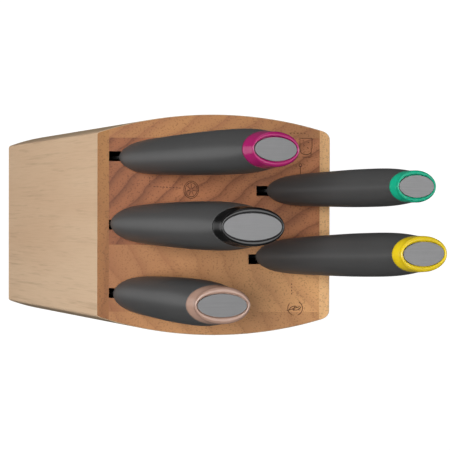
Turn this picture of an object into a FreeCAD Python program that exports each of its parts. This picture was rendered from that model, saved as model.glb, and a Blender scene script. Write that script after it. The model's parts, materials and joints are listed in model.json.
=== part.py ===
import FreeCAD, Part
import math
import os

# A free-standing knife block of glued beech boards with five kitchen knives.
# Frame: +Z up, origin on the standing surface under the middle of the block,
# +X to the right and -Y towards the user. Millimetres.
# The block is a barrel-outlined upright column. Its slot face slopes up to the back.

# ---- block ----
block_depth = 116.5
block_end_width = 115.0
block_side_bulge = 11.6
back_corner_radius = 6.0
front_corner_radius = 2.0
front_height = 135.0
face_tilt = 37.2
panel_thickness = 5.8
side_joint_x = 54.4
core_joint_x = 12.5
edge_round = 0.8
foot_height = 2.0
foot_diameter = 10.0
foot_round = 0.5
foot_x = 54.0
foot_y = 46.0

# ---- slots, sawn into the core boards from the front and the back ----
slot_width = 6.2
slot_pitch = 21.4
front_slot_length = 38.9
utility_slot_length = 35.4
slicing_slot_length = 31.5

# ---- knives ----
nose_gap = 0.5
grip_wall = 2.4
core_start = 5.0
core_top_gap = 2.0
clearance = 0.1
tang_thickness = 1.6
tang_width = 9.0
tang_share = 0.72
tang_from_spine = 4.0
tang_root = 1.0
neck_width = 15.0
neck_step = 3.0
neck_depth = 3.0
heel_drop = 4.0
choil_rise = 2.0
grind_share = 0.30
edge_thickness = 0.24
cap_thickness = 2.0
cap_groove = 0.45
cap_recess = 0.3
rim_radius = 0.9
pocket_radius = 0.4
seam_width = 0.3
seam_depth = 0.3

# Where along the handle its size is set, and its size there, as shares of the full values.
station_shares = [0.0, 0.025, 0.07, 0.18, 0.38, 0.60, 0.76, 0.89]
width_shares = [0.58, 0.73, 0.83, 0.905, 0.965, 1.0, 0.985, 0.88]
depth_shares = [0.74, 0.84, 0.90, 0.94, 0.97, 1.0, 1.0, 0.985]
sections_near_nose = [0.0, 0.02, 0.05, 0.09]
even_sections = 9
closest_sections = 0.015
tilt_start_share = 0.15
nose_shift = 0.35
nose_shift_end = 0.6

# Blade outlines, as shares of the blade's length and height: where the spine leaves its straight
# line, the middle of its curve down to the point (none for a straight line), how far the point
# lies below the spine, the middle of the belly's curve, and where the belly meets the straight edge.
blade_forms = {
    "chef": {"bend": 0.55, "curve": None, "point": 0.10, "belly": (0.22, 0.74), "belly_end": 0.40},
    "slicer": {"bend": 0.70, "curve": None, "point": 0.12, "belly": (0.20, 0.88), "belly_end": 0.68},
    "sheep": {"bend": 0.74, "curve": (0.19, 0.91), "point": 0.72, "belly": (0.03, 0.72), "belly_end": 0.40},
}

# Each knife: its slot, counted from the middle one; the depth (y) where its handle's axis
# meets the slot face; how far it stands off the slot's middle; its sideways lean in degrees;
# the handle's length, full width (x) and depth (y), and the same at its end face; the tilt
# of the end face; the height of the end ring and the width of its rim in x and in y; and the blade.
knives = {
    "santoku_knife": {
        "slot": -2, "root_y": -37.0, "offset": 0.8, "lean": 1.22, "length": 128.5,
        "width": 24.5, "depth": 26.4, "end_width": 18.0, "end_depth": 26.2, "end_tilt": 17.2,
        "ring": 7.6, "rim_x": 3.05, "rim_y": 2.1, "blade_length": 112.0, "blade_height": 30.0,
        "blade_thickness": 1.6, "spine_y": -11.0, "form": "sheep",
    },
    "chef_knife": {
        "slot": 0, "root_y": -40.2, "offset": -0.6, "lean": 0.36, "length": 116.4,
        "width": 27.1, "depth": 29.0, "end_width": 20.6, "end_depth": 29.2, "end_tilt": 34.2,
        "ring": 5.8, "rim_x": 3.35, "rim_y": 2.1, "blade_length": 128.0, "blade_height": 34.5,
        "blade_thickness": 1.8, "spine_y": -11.0, "form": "chef",
    },
    "paring_knife": {
        "slot": 2, "root_y": -39.4, "offset": 0.5, "lean": -0.1, "length": 89.1,
        "width": 26.4, "depth": 27.2, "end_width": 20.6, "end_depth": 27.2, "end_tilt": 34.2,
        "ring": 5.6, "rim_x": 4.0, "rim_y": 2.6, "blade_length": 85.0, "blade_height": 20.0,
        "blade_thickness": 1.5, "spine_y": -10.0, "form": "chef",
    },
    "slicing_knife": {
        "slot": -1, "root_y": 34.7, "offset": -0.2, "lean": 0.1, "length": 104.9,
        "width": 21.5, "depth": 22.6, "end_width": 17.4, "end_depth": 22.4, "end_tilt": 22.2,
        "ring": 5.0, "rim_x": 2.85, "rim_y": 1.9, "blade_length": 165.0, "blade_height": 21.0,
        "blade_thickness": 1.6, "spine_y": -9.0, "form": "slicer",
    },
    "utility_knife": {
        "slot": 1, "root_y": 30.8, "offset": -2.0, "lean": -2.7, "length": 116.2,
        "width": 24.4, "depth": 26.4, "end_width": 19.0, "end_depth": 26.4, "end_tilt": 22.2,
        "ring": 5.4, "rim_x": 3.25, "rim_y": 2.45, "blade_length": 88.0, "blade_height": 22.0,
        "blade_thickness": 1.4, "spine_y": -10.0, "form": "chef",
    },
}

# ---- worked-out values ----
half_depth = block_depth / 2
inner_half_depth = half_depth - panel_thickness
face_slope = math.tan(math.radians(face_tilt))
base_z = foot_height
front_top_z = base_z + front_height
back_top_z = front_top_z + block_depth * face_slope
far = 400.0
margin = 10.0
tolerance = 0.01
rim_band = 0.2
slot_lengths = {
    -2: front_slot_length, 0: front_slot_length, 2: front_slot_length,
    -1: slicing_slot_length, 1: utility_slot_length,
}


def vec(x, y, z):
    return FreeCAD.Vector(x, y, z)


def face_height(y):
    """Height of the slot face above the standing surface at depth y."""
    return front_top_z + (y + half_depth) * face_slope


def box(x0, x1, y0, y1, z0, z1):
    return Part.makeBox(x1 - x0, y1 - y0, z1 - z0, vec(x0, y0, z0))


def save(name, shape):
    shape.exportStep("parts/" + name + ".step")
    print(name, "solids", len(shape.Solids), "valid", shape.isValid(), "volume", round(shape.Volume, 1))


# ---------------------------------------------------------------- block

def block_body():
    """The whole outer form of the block, before it is divided into its boards."""
    half_end = block_end_width / 2
    half_mid = half_end + block_side_bulge
    corners = [
        vec(-half_end, -half_depth, base_z),
        vec(half_end, -half_depth, base_z),
        vec(half_end, half_depth, base_z),
        vec(-half_end, half_depth, base_z),
    ]
    front = Part.LineSegment(corners[0], corners[1]).toShape()
    right = Part.Arc(corners[1], vec(half_mid, 0, base_z), corners[2]).toShape()
    back = Part.LineSegment(corners[2], corners[3]).toShape()
    left = Part.Arc(corners[3], vec(-half_mid, 0, base_z), corners[0]).toShape()
    column = Part.Face(Part.Wire([front, right, back, left])).extrude(vec(0, 0, back_top_z))
    column = column.makeFillet(back_corner_radius, upright_edges(column, half_depth))
    column = column.makeFillet(front_corner_radius, upright_edges(column, -half_depth))
    front_y = -half_depth - margin
    back_y = half_depth + margin
    profile = [
        vec(-far, front_y, 0),
        vec(-far, back_y, 0),
        vec(-far, back_y, face_height(back_y)),
        vec(-far, front_y, face_height(front_y)),
    ]
    below_face = Part.Face(Part.makePolygon(profile + [profile[0]])).extrude(vec(2 * far, 0, 0))
    return column.common(below_face)


def upright_edges(column, y):
    """The two upright edges of the column in its front or back plane."""
    return [e for e in column.Edges if abs(e.BoundBox.ZLength - back_top_z) < tolerance
            and abs(e.BoundBox.Center.y - y) < tolerance]


def rounded_rims(shape, radius):
    """Softens the outer edges of the slot face and of the base, where the block is handled."""
    rims = []
    for edge in shape.Edges:
        middle = edge.valueAt((edge.FirstParameter + edge.LastParameter) / 2)
        on_base = edge.BoundBox.ZMax < base_z + tolerance
        on_face = abs(middle.z - face_height(middle.y)) < tolerance
        if on_base or on_face:
            rims.append(edge)
    return shape.makeFillet(radius, rims)


def slot_box(number):
    """The space of one slot, sawn through the full height of the block."""
    x = number * slot_pitch
    length = slot_lengths[number]
    if number % 2 == 0:
        y0 = -inner_half_depth
        y1 = y0 + length
    else:
        y1 = inner_half_depth
        y0 = y1 - length
    return box(x - slot_width / 2, x + slot_width / 2, y0, y1, 0, far)


def make_block():
    body = rounded_rims(block_body(), edge_round)
    inner = inner_half_depth
    front_panel = body.common(box(-far, far, -far, -inner, 0, far))
    rear_panel = body.common(box(-far, far, inner, far, 0, far))
    left_side = body.common(box(-far, -side_joint_x, -inner, inner, 0, far))
    right_side = body.common(box(side_joint_x, far, -inner, inner, 0, far))
    left_core = body.common(box(-side_joint_x, core_joint_x, -inner, inner, 0, far))
    right_core = body.common(box(core_joint_x, side_joint_x, -inner, inner, 0, far))
    left_core = left_core.cut([slot_box(n) for n in (-2, -1, 0)])
    right_core = right_core.cut([slot_box(n) for n in (1, 2)])
    save("front_panel", front_panel)
    save("rear_panel", rear_panel)
    save("left_side_board", left_side)
    save("right_side_board", right_side)
    save("left_core_board", left_core)
    save("right_core_board", right_core)
    feet = []
    for x in (-foot_x, foot_x):
        for y in (-foot_y, foot_y):
            foot = Part.makeCylinder(foot_diameter / 2, foot_height, vec(x, y, 0))
            rim = [e for e in foot.Edges if e.BoundBox.ZMax < tolerance]
            feet.append(foot.makeFillet(foot_round, rim))
    save("rubber_feet", Part.makeCompound(feet))


# ---------------------------------------------------------------- knives
# A knife is built upright on its own axis: z along the handle from its nose,
# x across its width, and -y towards the blade's spine. Sections are ellipses in
# planes that tilt like the slot face at the nose and like the end face at the end.

def section(z, half_width, half_depth_y, tilt, middle_y=0.0):
    lean = math.radians(tilt)
    centre = vec(0, middle_y, z)
    long_end = centre + vec(0, half_depth_y, half_depth_y * math.tan(lean))
    short_end = centre + vec(half_width, 0, 0)
    return Part.Wire([Part.Ellipse(long_end, short_end, centre).toShape()])


def smooth_curve(xs, ys, x):
    """A curve through the points (xs, ys) that never overshoots them."""
    last = len(xs) - 1
    slopes = [(ys[k + 1] - ys[k]) / (xs[k + 1] - xs[k]) for k in range(last)]

    def tangent(k):
        if k == 0:
            return slopes[0]
        if k == last:
            return slopes[-1]
        if slopes[k - 1] * slopes[k] <= 0:
            return 0.0
        return 2 * slopes[k - 1] * slopes[k] / (slopes[k - 1] + slopes[k])

    i = 0
    while i < last - 1 and x > xs[i + 1]:
        i += 1
    span = xs[i + 1] - xs[i]
    t = (x - xs[i]) / span
    start = (2 * t ** 3 - 3 * t ** 2 + 1) * ys[i] + (t ** 3 - 2 * t ** 2 + t) * span * tangent(i)
    end = (3 * t ** 2 - 2 * t ** 3) * ys[i + 1] + (t ** 3 - t ** 2) * span * tangent(i + 1)
    return start + end


def handle_section(knife, share, inset):
    """The handle's section at a share of its length, moved in by the inset."""
    end_width = knife["end_width"] / knife["width"]
    end_depth = knife["end_depth"] / knife["depth"]
    stations = station_shares + [1.0]
    width = smooth_curve(stations, width_shares + [end_width], share) * knife["width"] / 2
    depth = smooth_curve(stations, depth_shares + [end_depth], share) * knife["depth"] / 2
    turn = max(0.0, (share - tilt_start_share) / (1 - tilt_start_share))
    tilt = face_tilt + (knife["end_tilt"] - face_tilt) * turn
    near_nose = max(0.0, 1 - share / nose_shift_end)
    towards_spine = nose_shift * (knife["depth"] / 2 - depth) * near_nose
    return section(share * knife["length"], width - inset, depth - inset, tilt, -towards_spine)


def handle_loft(knife, inset, z_from, z_to):
    """The handle's form between two heights, moved in by the inset."""
    length = knife["length"]
    step = 1 / (even_sections + 0.5)
    shares = sections_near_nose + [1 - step * k for k in reversed(range(even_sections))]
    lowest = z_from / length
    highest = z_to / length
    inner = [s for s in shares if lowest + closest_sections < s < highest - closest_sections]
    wanted = [lowest] + inner + [highest]
    return Part.makeLoft([handle_section(knife, s, inset) for s in wanted], True, False)


def above_end_plane(knife, depth_in):
    """A large block above the plane that lies depth_in under the handle's end face."""
    block = box(-far, far, -far, far, 0, far)
    block.rotate(vec(0, 0, 0), vec(1, 0, 0), knife["end_tilt"])
    block.translate(vec(0, 0, knife["length"]) - end_normal(knife) * depth_in)
    return block


def end_normal(knife):
    lean = math.radians(knife["end_tilt"])
    return vec(0, -math.sin(lean), math.cos(lean))


def end_prism(knife, half_width, half_depth_y, depth_in, height):
    """An elliptic prism square to the end face, from depth_in below it, height long."""
    wire = section(knife["length"], half_width, half_depth_y, knife["end_tilt"])
    wire.translate(end_normal(knife) * -depth_in)
    return Part.Face(wire).extrude(end_normal(knife) * height)


def neck_edge(knife):
    """How far back (y) the neck reaches, where the blade goes into the handle."""
    return knife["spine_y"] + min(neck_width, knife["blade_height"] - neck_step)


def blade_outline(knife):
    """The blade's side outline in the y-z plane, with its heel up and its tip down."""
    form = blade_forms[knife["form"]]
    spine = knife["spine_y"]
    edge = spine + knife["blade_height"]
    neck_y = neck_edge(knife)

    def at(share_down, share_along):
        return vec(0, spine + share_down * knife["blade_height"], -share_along * knife["blade_length"])

    neck_front = vec(0, spine, spine * face_slope + neck_depth)
    neck_back = vec(0, neck_y, neck_y * face_slope + neck_depth)
    choil = vec(0, neck_y, choil_rise - heel_drop)
    heel = vec(0, edge, -heel_drop)
    bend = at(0, form["bend"])
    point = at(form["point"], 1)
    belly_end = at(1, form["belly_end"])
    if form["curve"]:
        back = Part.Arc(bend, at(*form["curve"]), point)
    else:
        back = Part.LineSegment(bend, point)
    rise, along = form["belly"]
    belly = Part.Arc(point, at(1 - rise, along), belly_end)
    edges = [Part.LineSegment(neck_front, bend), back, belly, Part.LineSegment(belly_end, heel),
             Part.LineSegment(heel, choil), Part.LineSegment(choil, neck_back),
             Part.LineSegment(neck_back, neck_front)]
    return Part.Wire([e.toShape() for e in edges])


def tang_box(knife, gap):
    start = knife["spine_y"] + tang_from_spine
    half = tang_thickness / 2 + gap
    top = tang_share * knife["length"] + gap
    return box(-half, half, start - gap, start + tang_width + gap, -tang_root, top)


def make_blade(knife):
    """The blade and its tang, in one piece of steel, flat-ground from a third of its height."""
    half = knife["blade_thickness"] / 2
    plate = Part.Face(blade_outline(knife))
    plate.translate(vec(-half, 0, 0))
    plate = plate.extrude(vec(2 * half, 0, 0))
    spine = knife["spine_y"]
    edge = spine + knife["blade_height"]
    grind_y = spine + grind_share * knife["blade_height"]
    thin = edge_thickness / 2
    wedge = [vec(-half, spine, far), vec(half, spine, far), vec(half, grind_y, far),
             vec(thin, edge, far), vec(-thin, edge, far), vec(-half, grind_y, far)]
    ground = Part.Face(Part.makePolygon(wedge + [wedge[0]])).extrude(vec(0, 0, -2 * far))
    return plate.common(ground).fuse(tang_box(knife, 0)).removeSplitter()


def neck_space(knife):
    """Room for the top of the blade inside the handle's nose."""
    half = knife["blade_thickness"] / 2 + clearance
    spine = knife["spine_y"] - clearance
    neck_y = neck_edge(knife) + clearance
    outline = [vec(-half, spine, -far), vec(-half, neck_y, -far),
               vec(-half, neck_y, neck_y * face_slope + neck_depth + 2 * clearance),
               vec(-half, spine, spine * face_slope + neck_depth + 2 * clearance)]
    return Part.Face(Part.makePolygon(outline + [outline[0]])).extrude(vec(2 * half, 0, 0))


def seam_groove(knife):
    """The fine groove cut into the handle's surface where the grip and the end ring meet."""
    half = seam_width / 2
    layer = above_end_plane(knife, knife["ring"] + half).cut(above_end_plane(knife, knife["ring"] - half))
    return layer.cut(handle_loft(knife, seam_depth, core_start, knife["length"]))


def make_ring(knife, body, pocket_half_x, pocket_half_y, pocket_depth):
    """The gloss end ring: a rounded rim round the pocket that holds the end cap."""
    outer_rim = [e for e in body.Edges if e.BoundBox.ZMax > body.BoundBox.ZMax - rim_band]
    ring = body.makeFillet(rim_radius, outer_rim)
    pocket = end_prism(knife, pocket_half_x, pocket_half_y, pocket_depth, 2 * pocket_depth)
    ring = ring.cut(pocket)
    end_centre = vec(0, 0, knife["length"])
    mouth = [e for e in ring.Edges
             if abs((e.valueAt(e.FirstParameter) - end_centre).dot(end_normal(knife))) < tolerance
             and e.BoundBox.XLength < 2 * pocket_half_x + tolerance]
    return ring.makeFillet(pocket_radius, mouth)


def make_knife(name, knife):
    length = knife["length"]
    whole = handle_loft(knife, 0.0, 0.0, length)
    end_part = above_end_plane(knife, knife["ring"])
    seam = seam_groove(knife)
    cap_width = knife["end_width"] / 2 - knife["rim_x"]
    cap_depth = knife["end_depth"] / 2 - knife["rim_y"]
    cap_bed = cap_thickness + cap_recess
    ring = make_ring(knife, whole.common(end_part), cap_width + cap_groove, cap_depth + cap_groove, cap_bed)
    end_cap = end_prism(knife, cap_width, cap_depth, cap_bed, cap_thickness)
    core_top = length - knife["ring"] - core_top_gap
    core = handle_loft(knife, grip_wall, core_start, core_top)
    steel_space = [tang_box(knife, clearance), neck_space(knife)]
    pieces = {
        "blade": make_blade(knife),
        "core": core.cut(steel_space),
        "grip": whole.cut([end_part, seam, core] + steel_space),
        "ring": ring.cut(seam),
        "end_cap": end_cap,
    }
    for piece, shape in pieces.items():
        save(name + "_" + piece, place(knife, shape))


def place(knife, shape):
    """Leans the knife sideways in its slot and sets its nose just above the slot face."""
    placed = shape.copy()
    placed.rotate(vec(0, 0, 0), vec(0, 1, 0), knife["lean"])
    x = knife["slot"] * slot_pitch + knife["offset"]
    placed.translate(vec(x, knife["root_y"], face_height(knife["root_y"]) + nose_gap))
    return placed


def main():
    os.makedirs("parts", exist_ok=True)
    make_block()
    for name, knife in knives.items():
        make_knife(name, knife)


main()
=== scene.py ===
import bpy
import json
import math
from mathutils import Matrix, Vector


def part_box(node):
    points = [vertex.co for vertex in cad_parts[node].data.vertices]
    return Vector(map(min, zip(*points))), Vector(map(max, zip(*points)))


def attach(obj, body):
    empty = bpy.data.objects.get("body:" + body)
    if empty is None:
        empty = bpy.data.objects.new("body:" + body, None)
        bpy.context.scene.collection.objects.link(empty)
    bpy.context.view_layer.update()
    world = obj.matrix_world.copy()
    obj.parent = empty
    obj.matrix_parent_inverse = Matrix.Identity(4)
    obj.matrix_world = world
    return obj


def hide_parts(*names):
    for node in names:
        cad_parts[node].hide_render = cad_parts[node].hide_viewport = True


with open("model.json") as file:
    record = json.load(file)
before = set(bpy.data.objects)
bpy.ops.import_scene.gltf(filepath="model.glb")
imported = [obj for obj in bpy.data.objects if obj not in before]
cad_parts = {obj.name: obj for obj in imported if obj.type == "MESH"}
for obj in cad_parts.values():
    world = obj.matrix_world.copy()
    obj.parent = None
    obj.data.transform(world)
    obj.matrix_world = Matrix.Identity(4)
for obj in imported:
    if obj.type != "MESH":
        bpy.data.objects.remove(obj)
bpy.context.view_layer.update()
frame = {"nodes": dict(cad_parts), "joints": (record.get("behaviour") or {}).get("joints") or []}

# Looks for an upright knife block with five knives. Metres, in the frame of the CAD model:
# +Z up, -Y towards the user. The slot face slopes up towards +Y.

MM = 0.001
nodes = frame["nodes"]
joint_axes = {joint["name"]: joint["axis"] for joint in frame["joints"]}

# ---- the slot face, from the block's sizes and the front panel's lower edge ----
FACE_TILT = math.radians(37.2)
BLOCK_DEPTH = 116.5 * MM
FRONT_HEIGHT = 135 * MM
UP_SLOPE = Vector((0, math.cos(FACE_TILT), math.sin(FACE_TILT)))
FACE_NORMAL = Vector((0, -math.sin(FACE_TILT), math.cos(FACE_TILT)))
TO_LEFT = Vector((-1, 0, 0))
FRONT_TOP_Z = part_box("front_panel")[0].z + FRONT_HEIGHT
FACE_CENTRE = Vector((0, 0, FRONT_TOP_Z + BLOCK_DEPTH / 2 * math.tan(FACE_TILT)))

# Each knife's end: the tilt of its face in degrees, the slot and the (clear, deep) colours of its ring, and
# the end cap's share of the full grey, which is painted shade set per knife for how light falls on its cap.
KNIVES = {
    "santoku_knife": {"tilt": 17.2, "slot": "ring_magenta", "ring": ("AC1C68", "921458"), "cap": 0.84},
    "chef_knife": {"tilt": 34.2, "slot": "ring_black", "ring": ("0B0B0B", "050505"), "cap": 0.73},
    "paring_knife": {"tilt": 34.2, "slot": "ring_copper", "ring": ("AE8E7E", "9A7A6A"), "cap": 0.66},
    "slicing_knife": {"tilt": 22.2, "slot": "ring_green", "ring": ("17AE88", "109A76"), "cap": 1.0},
    "utility_knife": {"tilt": 22.2, "slot": "ring_yellow", "ring": ("E8CC20", "D6B612"), "cap": 0.96},
}


# ------------------------------------------------------------------ camera

LENS = 68
SENSOR_WIDTH = 36
NEAR_LIMIT = 0.01
CAMERA_DISTANCE = 531.8 * MM
CAMERA_UP_SLOPE = 1.3 * MM
CAMERA_TO_LEFT = 4.6 * MM
TARGET_UP_SLOPE = 6.7 * MM
CAMERA_ROLL = 0.003


def make_camera():
    """A camera square to the slot face, with the user's left at the top of the picture."""
    data = bpy.data.cameras.new("camera")
    data.lens = LENS
    data.sensor_width = SENSOR_WIDTH
    data.clip_start = NEAR_LIMIT
    camera = bpy.data.objects.new("camera", data)
    bpy.context.scene.collection.objects.link(camera)
    place = FACE_CENTRE + FACE_NORMAL * CAMERA_DISTANCE
    place = place + UP_SLOPE * CAMERA_UP_SLOPE + TO_LEFT * CAMERA_TO_LEFT
    target = FACE_CENTRE + UP_SLOPE * TARGET_UP_SLOPE
    back = (place - target).normalized()
    up = (TO_LEFT - UP_SLOPE * CAMERA_ROLL).normalized()
    right = up.cross(back).normalized()
    up = back.cross(right)
    turn = Matrix((right, up, back)).transposed()
    camera.matrix_world = Matrix.Translation(place) @ turn.to_4x4()
    bpy.context.scene.camera = camera


# ------------------------------------------------------------------ material tools

def start_material(name, **sockets):
    """A new material and its node tree, with constant values on the shader's sockets."""
    mat = bpy.data.materials.new(name)
    mat.use_nodes = True
    tree = mat.node_tree
    shader = tree.nodes["Principled BSDF"]
    for socket, value in sockets.items():
        shader.inputs[socket.replace("_", " ")].default_value = value
    return mat, tree, shader


def add(tree, kind, inputs=(), **settings):
    """A node with its settings and inputs, each input a value or another node's output."""
    node = tree.nodes.new(kind)
    for key, value in settings.items():
        setattr(node, key, value)
    for key, value in dict(inputs).items():
        if isinstance(value, bpy.types.NodeSocket):
            tree.links.new(value, node.inputs[key])
        else:
            node.inputs[key].default_value = value
    return node


def calc(tree, operation, a, b=0.0):
    return add(tree, "ShaderNodeMath", {0: a, 1: b}, operation=operation).outputs[0]


def mix(tree, share, a, b, blend="MIX"):
    node = add(tree, "ShaderNodeMix", {0: share, 6: a, 7: b}, data_type="RGBA", blend_type=blend)
    return node.outputs[2]


def step(tree, value, low, high):
    """0 below low, 1 above high and a straight run between."""
    node = add(tree, "ShaderNodeMapRange", {0: value, 1: low, 2: high, 3: 0.0, 4: 1.0})
    return node.outputs[0]


def noise(tree, vector, scale, detail=2.0, roughness=0.5, stretch=(1, 1, 1)):
    """Noise with about scale cells to a metre; a stretch under 1 draws it out along that axis."""
    place = add(tree, "ShaderNodeMapping", {0: vector, 3: stretch}).outputs[0]
    inputs = {"Vector": place, "Scale": scale, "Detail": detail, "Roughness": roughness}
    return add(tree, "ShaderNodeTexNoise", inputs).outputs[0]


def object_place(tree):
    return add(tree, "ShaderNodeTexCoord").outputs["Object"]


def bump(tree, shader, height, distance, strength):
    node = add(tree, "ShaderNodeBump", {"Strength": strength, "Distance": distance, "Height": height})
    tree.links.new(node.outputs[0], shader.inputs["Normal"])


def rgb(code, gain=1.0):
    """Linear colour from an sRGB hex code."""
    parts = [int(code[i:i + 2], 16) / 255 for i in (0, 2, 4)]
    linear = [p / 12.92 if p <= 0.04045 else ((p + 0.055) / 1.055) ** 2.4 for p in parts]
    return tuple(p * gain for p in linear) + (1.0,)


# ------------------------------------------------------------------ wood

WHITE = (1, 1, 1, 1)
# Painted shade: the near-black put on the slot walls for the shadow deep in the slots.
SLOT_SHADE_PAINT = (0.004, 0.003, 0.002, 1)


def growth_rings(tree, x, y, moved, pith, spacing):
    """0 in the early wood and up to 1 at the dark edge of each ring, round an upright pith line."""
    wander = noise(tree, moved, 14.0, 3.0, 0.55, (1, 1, 0.12))
    waver = noise(tree, moved, 90.0, 2.0, 0.5, (1, 1, 0.15))
    dx = calc(tree, "SUBTRACT", x, pith[0] * MM)
    dy = calc(tree, "SUBTRACT", y, pith[1] * MM)
    square = calc(tree, "ADD", calc(tree, "MULTIPLY", dx, dx), calc(tree, "MULTIPLY", dy, dy))
    radius = calc(tree, "SQRT", square)
    radius = calc(tree, "ADD", radius, calc(tree, "MULTIPLY", wander, 26 * MM))
    radius = calc(tree, "ADD", radius, calc(tree, "MULTIPLY", waver, 2.2 * MM))
    phase = calc(tree, "FRACT", calc(tree, "DIVIDE", radius, spacing * MM))
    late = add(tree, "ShaderNodeFloatCurve", {1: phase})
    points = late.mapping.curves[0].points
    points[0].location = (0.0, 0.70)
    points[1].location = (1.0, 1.0)
    for at, value in ((0.10, 0.22), (0.35, 0.06), (0.70, 0.34)):
        points.new(at, value)
    late.mapping.update()
    return late.outputs[0]


def with_painted_shade(tree, colour, x, y, clouds, shade_fade):
    """The colour under a painted shade that fades out along an axis, darker towards one end. The last
    argument is (axis, from, to, shade colour).
    """
    axis, start, stop, shade_tint = shade_fade
    along_axis = calc(tree, "ADD", (x, y)[axis], calc(tree, "MULTIPLY", clouds, 20 * MM))
    share = step(tree, along_axis, start * MM, stop * MM)
    return mix(tree, 1.0, colour, mix(tree, share, shade_tint, WHITE), "MULTIPLY")


def long_grain(tree, moved, rings, patches, fibres, tones):
    """The long-grain faces: faint rings, with patches, flecks, streaks and fibres along Z."""
    flecks = noise(tree, moved, 520.0, 1.5, 0.5, (1, 1, 0.08))
    streaks = noise(tree, moved, 260.0, 3.0, 0.6, (1, 1, 0.06))
    colour = mix(tree, calc(tree, "MULTIPLY", rings, 0.22), rgb(tones[0]), rgb(tones[1]))
    # each mark: its texture, where it starts and is full, its strength, and its gain on the dark tone
    marks = ((patches, 0.40, 0.68, 0.26, 1.0), (flecks, 0.62, 0.72, 0.17, 0.50),
             (streaks, 0.56, 0.68, 0.16, 0.45), (fibres, 0.45, 0.75, 0.12, 0.60))
    for texture, low, high, strength, gain in marks:
        share = calc(tree, "MULTIPLY", step(tree, texture, low, high), strength)
        colour = mix(tree, share, colour, rgb(tones[1], gain))
    return colour


def painted_slot_shade(tree, normal, on_face, slot_shade_walls):
    """1 on the faces that line the slots, which get painted shade: near-black for the shadow deep in the
    slots. The last argument is "slots" for a core board, where that is every face but the slot face and the
    base, or +1 or -1 for the panel whose inner face looks that way."""
    normal_y, normal_z = add(tree, "ShaderNodeSeparateXYZ", {0: normal}).outputs[1:3]
    if slot_shade_walls == "slots":
        off_base = step(tree, normal_z, -0.6, -0.4)
        return calc(tree, "MULTIPLY", calc(tree, "SUBTRACT", 1.0, on_face), off_base)
    return step(tree, calc(tree, "MULTIPLY", normal_y, slot_shade_walls), 0.9, 0.99)


def wood(name, pith, spacing, end_tones, long_tones, seed, ring_share, shade_fade=None, slot_shade_walls=None):
    """Beech, textured as a solid: growth rings round an upright pith line, pores and rays along Z.
    end_tones and long_tones are (light, dark) for the slot face and for the long-grain faces."""
    mat, tree, shader = start_material(name, Specular_IOR_Level=0.15)
    place = object_place(tree)
    offset = {0: place, 1: (seed, seed * 0.7, 0)}
    moved = add(tree, "ShaderNodeVectorMath", offset, operation="ADD").outputs[0]
    x, y = add(tree, "ShaderNodeSeparateXYZ", {0: place}).outputs[:2]
    rings = growth_rings(tree, x, y, moved, pith, spacing)
    fibres = noise(tree, moved, 1500.0, 2.0, 0.6, (1, 1, 0.04))
    pores = noise(tree, moved, 1100.0, 1.0, 0.4, (1, 1, 0.10))
    patches = noise(tree, moved, 22.0, 3.0, 0.6, (1, 1, 0.35))
    clouds = noise(tree, moved, 45.0, 2.0, 0.5, (1, 1, 0.5))

    normal = add(tree, "ShaderNodeNewGeometry").outputs["Normal"]
    facing = add(tree, "ShaderNodeVectorMath", {0: normal, 1: tuple(FACE_NORMAL)},
                 operation="DOT_PRODUCT").outputs["Value"]
    on_face = step(tree, facing, 0.86, 0.93)

    end = mix(tree, calc(tree, "MULTIPLY", rings, ring_share), rgb(end_tones[0]), rgb(end_tones[1]))
    end = mix(tree, step(tree, patches, 0.40, 0.62), end, mix(tree, 0.30, end, rgb(end_tones[1])))
    # Painted shade: the board is darker towards one end.
    if shade_fade is not None:
        end = with_painted_shade(tree, end, x, y, clouds, shade_fade)
    speckle = calc(tree, "MULTIPLY", step(tree, pores, 0.57, 0.67), 0.40)
    end = mix(tree, speckle, end, rgb(end_tones[1], 0.45))

    colour = mix(tree, on_face, long_grain(tree, moved, rings, patches, fibres, long_tones), end)
    # Painted shade: the faces that line the slots are coloured near-black for the shadow in them.
    if slot_shade_walls is not None:
        colour = mix(tree, painted_slot_shade(tree, normal, on_face, slot_shade_walls), colour, SLOT_SHADE_PAINT)
    tree.links.new(colour, shader.inputs["Base Color"])
    rough = calc(tree, "ADD", 0.46, calc(tree, "MULTIPLY", fibres, 0.16))
    tree.links.new(rough, shader.inputs["Roughness"])
    relief = calc(tree, "SUBTRACT", calc(tree, "MULTIPLY", fibres, 0.5), speckle)
    bump(tree, shader, relief, 0.00012, 0.35)
    return mat


def make_wood():
    """The six boards, cut from different planks. The colours are (light, dark)."""
    core_long = ("B99670", "9A7450")
    side_long = ("C8AE8E", "AA8A66")
    panel_long = ("D6B99A", "BA9270")
    # The fading runs given to four boards below are painted shade, each board darker towards one end.
    return {
        "left_core_board": wood("beech_core", (170, 190), 9.0, ("B5744A", "6C3C26"), core_long,
                                0.31, 0.80, (1, -60, 5, (0.48, 0.41, 0.40, 1)), "slots"),
        "right_core_board": wood("beech_core_light", (-110, 300), 13.0, ("D8A26A", "A87048"), core_long,
                                 0.77, 0.45, (1, -50, 70, (0.48, 0.37, 0.36, 1)), "slots"),
        "left_side_board": wood("beech_left", (150, 200), 11.0, ("AE7A4A", "885438"), side_long,
                                1.3, 0.62),
        "right_side_board": wood("beech_right", (-60, 240), 12.0, ("C38E5C", "9C6842"), side_long,
                                 2.1, 0.5, (1, -60, 10, (0.68, 0.60, 0.58, 1))),
        "front_panel": wood("beech_panel", (40, 900), 10.5, ("A27240", "80502E"), panel_long,
                            2.9, 0.5, (0, 60, -45, (0.82, 0.72, 0.76, 1)), 1),
        "rear_panel": wood("beech_back_panel", (-60, -900), 9.5, ("E2B27C", "C29060"), panel_long,
                           3.7, 0.4, None, -1),
    }


# ------------------------------------------------------------------ plastics, steel and rubber

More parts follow.
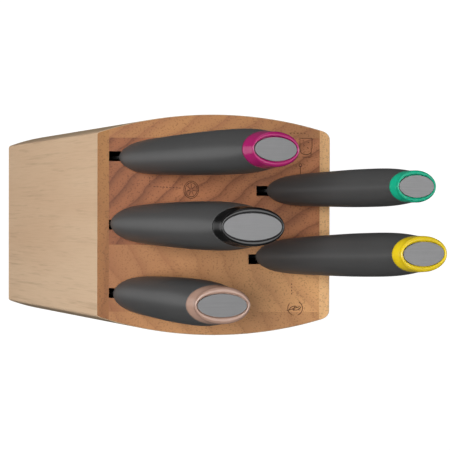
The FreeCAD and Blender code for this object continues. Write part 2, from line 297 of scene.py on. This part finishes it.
def soft_grip():
    """Soft-touch grey elastomer: matt, with a fine grain."""
    mat, tree, shader = start_material("soft_grip", Specular_IOR_Level=0.4)
    place = object_place(tree)
    grain = noise(tree, place, 5200.0, 2.0, 0.6)
    cloud = noise(tree, place, 60.0, 2.0, 0.5)
    colour = mix(tree, cloud, (0.055, 0.055, 0.055, 1), (0.066, 0.066, 0.066, 1))
    tree.links.new(colour, shader.inputs["Base Color"])
    rough = calc(tree, "ADD", 0.36, calc(tree, "MULTIPLY", grain, 0.12))
    tree.links.new(rough, shader.inputs["Roughness"])
    bump(tree, shader, grain, 0.00003, 0.35)
    return mat


def hard_core():
    mat, tree, shader = start_material("hard_core", Roughness=0.6)
    grain = noise(tree, object_place(tree), 900.0)
    tree.links.new(mix(tree, grain, (0.02, 0.02, 0.02, 1), (0.035, 0.035, 0.035, 1)),
                   shader.inputs["Base Color"])
    return mat


def gloss_ring(name, code, deep):
    """Moulded gloss plastic, with a faint cloudiness and the ripple of a moulded skin."""
    mat, tree, shader = start_material(name, Specular_IOR_Level=0.3, Coat_Weight=0.3,
                                       Coat_Roughness=0.16)
    place = object_place(tree)
    cloud = noise(tree, place, 130.0, 2.0, 0.5)
    tree.links.new(mix(tree, cloud, rgb(code), rgb(deep)), shader.inputs["Base Color"])
    haze = noise(tree, place, 700.0, 2.0, 0.5)
    tree.links.new(calc(tree, "ADD", 0.18, calc(tree, "MULTIPLY", haze, 0.12)), shader.inputs["Roughness"])
    bump(tree, shader, haze, 0.00002, 0.25)
    return mat


def brushed_cap(name, painted_shade_level):
    """Grey metal with fine brushing along the handle's depth. The second argument is its share of the full
    grey: painted shade that darkens this knife's copy for how light falls on it.
    """
    mat, tree, shader = start_material(name, Metallic=0.05, Specular_IOR_Level=0.2)
    place = object_place(tree)
    lines = noise(tree, place, 2600.0, 2.0, 0.6, (1, 0.02, 0.02))
    cloud = noise(tree, place, 150.0, 2.0, 0.5)
    colour = mix(tree, lines, (0.220, 0.220, 0.225, 1), (0.300, 0.300, 0.305, 1))
    colour = mix(tree, calc(tree, "MULTIPLY", cloud, 0.3), colour, (0.18, 0.18, 0.18, 1))
    # Painted shade: this copy of the grey is darkened per knife.
    tree.links.new(mix(tree, painted_shade_level, (0, 0, 0, 1), colour), shader.inputs["Base Color"])
    tree.links.new(calc(tree, "ADD", 0.44, calc(tree, "MULTIPLY", lines, 0.2)), shader.inputs["Roughness"])
    bump(tree, shader, lines, 0.00002, 0.3)
    return mat


def blade_steel():
    """Blade steel, ground across the blade."""
    mat, tree, shader = start_material("blade_steel", Metallic=1.0, Anisotropic=0.5)
    place = object_place(tree)
    lines = noise(tree, place, 2200.0, 2.0, 0.65, (1, 0.03, 1))
    colour = mix(tree, lines, (0.54, 0.55, 0.56, 1), (0.62, 0.63, 0.64, 1))
    tree.links.new(colour, shader.inputs["Base Color"])
    tree.links.new(calc(tree, "ADD", 0.20, calc(tree, "MULTIPLY", lines, 0.18)), shader.inputs["Roughness"])
    bump(tree, shader, lines, 0.00002, 0.08)
    return mat


def foot_rubber():
    mat, tree, shader = start_material("foot_rubber", Roughness=0.8)
    grain = noise(tree, object_place(tree), 2500.0)
    tree.links.new(mix(tree, grain, (0.012, 0.012, 0.012, 1), (0.03, 0.03, 0.03, 1)),
                   shader.inputs["Base Color"])
    bump(tree, shader, grain, 0.00005, 0.4)
    return mat


def dress_cad():
    """Every CAD node gets a procedural material, and each ring its bead."""
    for node, mat in make_wood().items():
        paint(nodes[node], mat)
    paint(nodes["rubber_feet"], foot_rubber())
    grip, core, steel = soft_grip(), hard_core(), blade_steel()
    for knife, look in KNIVES.items():
        paint(nodes[knife + "_grip"], grip)
        paint(nodes[knife + "_core"], core)
        # Each cap's grey is darkened per knife as painted shade.
        paint(nodes[knife + "_end_cap"], brushed_cap(knife + "_brushed_cap", look["cap"]))
        paint(nodes[knife + "_blade"], steel)
        gloss = gloss_ring(knife + "_ring_gloss", *look["ring"])
        paint(nodes[knife + "_ring"], gloss)
        make_bead(knife, gloss)


def paint(obj, mat):
    obj.data.materials.clear()
    obj.data.materials.append(mat)


# ------------------------------------------------------------------ end rings
# The CAD ring is a plain solid. Its stand-in has the moulded ring's domed rim, and meets the grip and
# the end cap where the CAD ring does. It is lofted from ellipses in planes square to the end face.

# Points round each ellipse, and ellipses up the side, over the dome and down its inner side.
AROUND = 84
SIDE_STEPS = 5
DOME_STEPS = 9
INNER_STEPS = 5
# The dome's height, where its crest lies across the rim, and how far its inner edge drops.
DOME_HEIGHT = 1.5 * MM
CREST_SHARE = 0.62
INNER_DROP = 0.7 * MM
POCKET_DEPTH = 2.3 * MM
CAP_GAP = 0.4 * MM
SEAM_DEPTH = 0.3 * MM
# The seam with the grip: (rise in millimetres, share of the seam's depth).
SEAM_PROFILE = ((0, 0), (0.15, 0), (0.18, 0.75), (0.30, 1.0))
# How near the CAD ring's lowest and highest points its seam and its end are measured.
SEAM_BAND = 0.02 * MM
END_BAND = 1.1 * MM


def end_axes(knife):
    """Along the end face's length, along its width, and out of it, leaned like the knife."""
    tilt = math.radians(KNIVES[knife]["tilt"])
    joint_axis = Vector(joint_axes[knife + "_slide"])
    lean = Matrix.Rotation(math.atan2(joint_axis.x, joint_axis.z), 3, "Y")
    along = Vector((0, math.cos(tilt), math.sin(tilt)))
    out = Vector((0, -math.sin(tilt), math.cos(tilt)))
    return lean @ along, lean @ Vector((1, 0, 0)), lean @ out


def extent(values):
    """The middle and the half size of a set of numbers."""
    low, high = min(values), max(values)
    return (low + high) / 2, (high - low) / 2


def bead_loops(knife):
    """Ellipses from the seam up the side, over the dome and down the pocket: each is its middle
    along, across and out, then its half length and half width. They are measured from the CAD ring and
    cap: the seam from the ring's lowest band, and the end face from its top band."""
    axes = end_axes(knife)
    ring = [[vert.co.dot(axis) for axis in axes] for vert in nodes[knife + "_ring"].data.vertices]
    cap = [[vert.co.dot(axis) for axis in axes] for vert in nodes[knife + "_end_cap"].data.vertices]
    low, high = min(v[2] for v in ring), max(v[2] for v in ring)
    seam = [v for v in ring if v[2] < low + SEAM_BAND]
    seam_along, seam_length = extent([v[0] for v in seam])
    seam_across, seam_width = extent([v[1] for v in seam])
    across, end_width = extent([v[1] for v in ring if v[2] > high - END_BAND])
    along, cap_length = extent([v[0] for v in cap])
    cap_width = extent([v[1] for v in cap])[1]
    end_length = max(v[0] for v in ring) - along
    loops = []
    for rise, out_by in SEAM_PROFILE:
        size = out_by * SEAM_DEPTH
        loops.append((seam_along, seam_across, low + rise * MM, seam_length + size, seam_width + size))
    start = loops[-1]
    base = (along, across, high - DOME_HEIGHT, end_length, end_width)
    for k in range(1, SIDE_STEPS):
        share = k / SIDE_STEPS
        loops.append(tuple(a + (b - a) * share for a, b in zip(start, base)))
    rim_length = end_length - cap_length - CAP_GAP
    rim_width = end_width - cap_width - CAP_GAP
    profile = []
    for k in range(DOME_STEPS + 1):
        turn = math.pi / 2 * k / DOME_STEPS
        profile.append((CREST_SHARE * (1 - math.cos(turn)), DOME_HEIGHT * (1 - math.sin(turn))))
    for k in range(1, INNER_STEPS + 1):
        turn = math.pi / 2 * k / INNER_STEPS
        share = CREST_SHARE + (1 - CREST_SHARE) * math.sin(turn)
        profile.append((share, INNER_DROP * (1 - math.cos(turn))))
    profile += [(1, INNER_DROP + 0.1 * MM), (1, POCKET_DEPTH)]
    for share, drop in profile:
        half_length = end_length - share * rim_length
        half_width = end_width - share * rim_width
        loops.append((along, across, high - drop, half_length, half_width))
    return axes, loops


def make_bead(knife, gloss):
    axes, loops = bead_loops(knife)
    verts, faces = [], []
    for along, across, out, half_length, half_width in loops:
        for k in range(AROUND):
            turn = 2 * math.pi * k / AROUND
            local = (along + half_length * math.cos(turn), across + half_width * math.sin(turn), out)
            verts.append(sum((axis * value for axis, value in zip(axes, local)), Vector()))
    for row in range(len(loops) - 1):
        for k in range(AROUND):
            a, b = row * AROUND + k, row * AROUND + (k + 1) % AROUND
            faces.append((a, b, b + AROUND, a + AROUND))
    faces.append(tuple(reversed(range(AROUND))))
    faces.append(tuple(range((len(loops) - 1) * AROUND, len(loops) * AROUND)))
    mesh = bpy.data.meshes.new(knife + "_ring_bead")
    mesh.from_pydata(verts, [], faces)
    for face in mesh.polygons[:-2]:
        face.use_smooth = True
    bead = bpy.data.objects.new(knife + "_ring_bead", mesh)
    bpy.context.scene.collection.objects.link(bead)
    mesh.materials.append(gloss)
    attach(bead, knife)
    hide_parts(knife + "_ring")


# ------------------------------------------------------------------ pictograms
# Food signs burnt into the slot face, of a generic design, with leader lines to the slots.
# Points on the face are (up-slope, to the right) in millimetres from its centre.

MARK_HEIGHT = 0.04 * MM
MARK_SINK = 0.05 * MM
LINE_WIDTH = 0.5  # millimetres, like the points


def on_slot_face(point, height):
    return FACE_CENTRE + UP_SLOPE * point[0] * MM - TO_LEFT * point[1] * MM + FACE_NORMAL * height


def add_line(verts, faces, points):
    """One stroke: a thin closed strip along the points."""
    start = len(verts)
    last = len(points) - 1
    for k, point in enumerate(points):
        before = Vector(points[max(k - 1, 0)])
        after = Vector(points[min(k + 1, last)])
        along = (after - before).normalized()
        side = Vector((-along.y, along.x)) * LINE_WIDTH / 2
        for sign, height in ((1, MARK_HEIGHT), (-1, MARK_HEIGHT), (-1, -MARK_SINK), (1, -MARK_SINK)):
            verts.append(on_slot_face(Vector(point) + side * sign, height))
    for k in range(last):
        a = start + 4 * k
        for c in range(4):
            faces.append((a + c, a + (c + 1) % 4, a + 4 + (c + 1) % 4, a + 4 + c))
    end = start + 4 * last
    faces.append((start + 3, start + 2, start + 1, start))
    faces.append((end, end + 1, end + 2, end + 3))


def arc_points(centre, radius, start, sweep, count):
    """Points on an arc; the angles are in degrees and the radius is (along, across)."""
    along, across = radius
    angles = [math.radians(start + sweep * k / (count - 1)) for k in range(count)]
    return [(centre[0] + along * math.cos(a), centre[1] + across * math.sin(a)) for a in angles]


def dashes(start, end, dash, gap):
    """Short strokes from start to end."""
    start, end = Vector(start), Vector(end)
    way = (end - start).normalized()
    count = int(((end - start).length + gap) / (dash + gap))
    return [[start + way * k * (dash + gap), start + way * (k * (dash + gap) + dash)] for k in range(count)]


def citrus_sign():
    """A slice of citrus fruit, with its dashed leader to the first slot."""
    centre = (-14.5, -22)
    strokes = [arc_points(centre, (4.6, 5.4), 0, 360, 33), arc_points(centre, (3.7, 4.4), 0, 360, 29)]
    for k in range(7):
        angle = math.radians(12 + k * 360 / 7)
        way = Vector((math.cos(angle), math.sin(angle) * 1.18))
        strokes.append([Vector(centre) + way * 0.7, Vector(centre) + way * 3.1])
    strokes += dashes((-21.0, -23.0), (-40.0, -24.0), 1.1, 0.9)
    strokes += dashes((-40.4, -24.6), (-40.4, -31.5), 1.1, 0.9)
    return strokes


def loaf_sign():
    """A slice of bread, with its leader towards the second slot."""
    crust = [(61.0, -54.4), (61.0, -48.2)] + arc_points((57.2, -46.4), (3.4, 2.2), -20, 220, 15)
    crust += [(53.4, -48.2), (53.4, -54.4), (61.0, -54.4)]
    strokes = [crust]
    for s, x in ((58.8, -52.0), (56.0, -50.4), (58.4, -48.6), (55.6, -53.0)):
        strokes.append([(s - 0.5, x), (s + 0.5, x + 0.5)])
    strokes += [[(60.4, -46.0), (60.4, -42.6)], [(60.4, -42.6), (55.6, -42.6)]]
    strokes += dashes((47.0, -57.6), (59.0, -57.6), 1.2, 1.0)
    return strokes


def pin_sign():
    """A small round mark on a short leader that ends at the second slot's handle."""
    return [arc_points((53.8, -37.6), (0.9, 0.9), 0, 360, 13), [(53.8, -36.6), (53.8, -31.0)]]


def leaf_sign():
    """A leaf in a broken circle, with its dotted leader to the fourth slot."""
    centre = (50.8, 52.0)
    strokes = [arc_points(centre, (4.6, 4.6), -60, 130, 15), arc_points(centre, (4.6, 4.6), 110, 110, 13)]
    strokes.append(arc_points((50.2, 55.2), (3.6, 4.4), -150, 96, 11))
    strokes.append(arc_points((51.4, 48.8), (3.6, 4.4), 30, 96, 11))
    strokes += [[(45.6, 53.6), (53.6, 51.0)], [(50.0, 52.2), (50.6, 50.6)], [(49.0, 52.5), (50.2, 53.6)]]
    strokes += dashes((48.6, 36.5), (48.6, 43.5), 0.9, 1.1)
    return strokes


def burnt_mark():
    """Wood scorched by a marking tool, darker in places."""
    mat, tree, shader = start_material("burnt_mark", Roughness=0.75, Specular_IOR_Level=0.15)
    scorch = noise(tree, object_place(tree), 900.0, 3.0, 0.6)
    tree.links.new(mix(tree, step(tree, scorch, 0.40, 0.62), rgb("3C2014"), rgb("70452C")),
                   shader.inputs["Base Color"])
    bump(tree, shader, scorch, 0.00004, 0.4)
    return mat


def make_signs():
    mat = burnt_mark()
    signs = {"citrus_sign": citrus_sign, "loaf_sign": loaf_sign, "pin_sign": pin_sign, "leaf_sign": leaf_sign}
    for name, strokes_of in signs.items():
        verts, faces = [], []
        for stroke in strokes_of():
            add_line(verts, faces, stroke)
        mesh = bpy.data.meshes.new(name)
        mesh.from_pydata(verts, [], faces)
        sign = bpy.data.objects.new(name, mesh)
        bpy.context.scene.collection.objects.link(sign)
        mesh.materials.append(mat)
        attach(sign, "root")


# ------------------------------------------------------------------ stage and light

FLOOR_HALF = 20.0


def make_stage():
    """A pale floor that glows a little, so that only a faint shadow shows on it."""
    mesh = bpy.data.meshes.new("floor")
    corners = [(-FLOOR_HALF, -FLOOR_HALF, 0), (FLOOR_HALF, -FLOOR_HALF, 0),
               (FLOOR_HALF, FLOOR_HALF, 0), (-FLOOR_HALF, FLOOR_HALF, 0)]
    mesh.from_pydata(corners, [], [(0, 1, 2, 3)])
    floor = bpy.data.objects.new("floor", mesh)
    bpy.context.scene.collection.objects.link(floor)
    mat = start_material("floor_paint", Roughness=0.9, Specular_IOR_Level=0.1,
                         Base_Color=(0.20, 0.20, 0.20, 1), Emission_Color=WHITE, Emission_Strength=0.92)[0]
    floor.data.materials.append(mat)
    floor.visible_diffuse = False
    floor.visible_glossy = False


ROOM_LIGHT = 0.10


def make_world():
    """Soft light from all round, in front of a white backdrop."""
    world = bpy.data.worlds.new("studio")
    bpy.context.scene.world = world
    world.use_nodes = True
    tree = world.node_tree
    room = tree.nodes["Background"]
    room.inputs["Color"].default_value = WHITE
    room.inputs["Strength"].default_value = ROOM_LIGHT
    backdrop = add(tree, "ShaderNodeBackground", {"Color": WHITE, "Strength": 1.0})
    seen = add(tree, "ShaderNodeLightPath").outputs["Is Camera Ray"]
    both = add(tree, "ShaderNodeMixShader", {0: seen, 1: room.outputs[0], 2: backdrop.outputs[0]})
    tree.links.new(both.outputs[0], tree.nodes["World Output"].inputs["Surface"])


def soft_light(name, place, size, power, sheen_only=False):
    """A lamp that faces the slot face. A sheen lamp shows only as a reflection, as a white card does."""
    data = bpy.data.lights.new(name, "AREA")
    data.shape = "ELLIPSE"
    data.size, data.size_y = size
    data.energy = power
    light = bpy.data.objects.new(name, data)
    bpy.context.scene.collection.objects.link(light)
    light.location = place
    light.rotation_euler = (FACE_CENTRE - place).to_track_quat("-Z", "Y").to_euler()
    light.visible_camera = False
    light.visible_diffuse = not sheen_only


# Lamp sizes in metres; the powers below are in watts.
ROUND_LAMP = (0.8, 0.8)
OVERHEAD_CARD = (1.5, 1.4)
FRONT_CARD = (0.26, 0.3)


def make_lights():
    """A large lamp over the slot face, a little towards the user, and weak lamps all round. Two cards
    put the sheen on the rings and on the grips' front sides."""
    key = FACE_CENTRE + FACE_NORMAL * 1.3 - UP_SLOPE * 0.45 + TO_LEFT * 0.08
    overhead = FACE_CENTRE + FACE_NORMAL * 1.3 + UP_SLOPE * 0.4
    soft_light("key", key, ROUND_LAMP, 20)
    soft_light("left", FACE_CENTRE + TO_LEFT * 1.2 + FACE_NORMAL * 0.4, ROUND_LAMP, 2.2)
    soft_light("right", FACE_CENTRE - TO_LEFT * 1.3, ROUND_LAMP, 0.6)
    soft_light("behind", FACE_CENTRE + Vector((0, 1.2, 0.7)), ROUND_LAMP, 8)
    soft_light("overhead_card", overhead, OVERHEAD_CARD, 18, True)
    soft_light("front_card", Vector((-0.01, -0.27, 0.01)), FRONT_CARD, 0.33, True)


def set_view():
    """Colours as they are, without a film look."""
    bpy.context.scene.view_settings.view_transform = "Standard"


make_camera()
set_view()
dress_cad()
make_signs()
make_stage()
make_world()
make_lights()
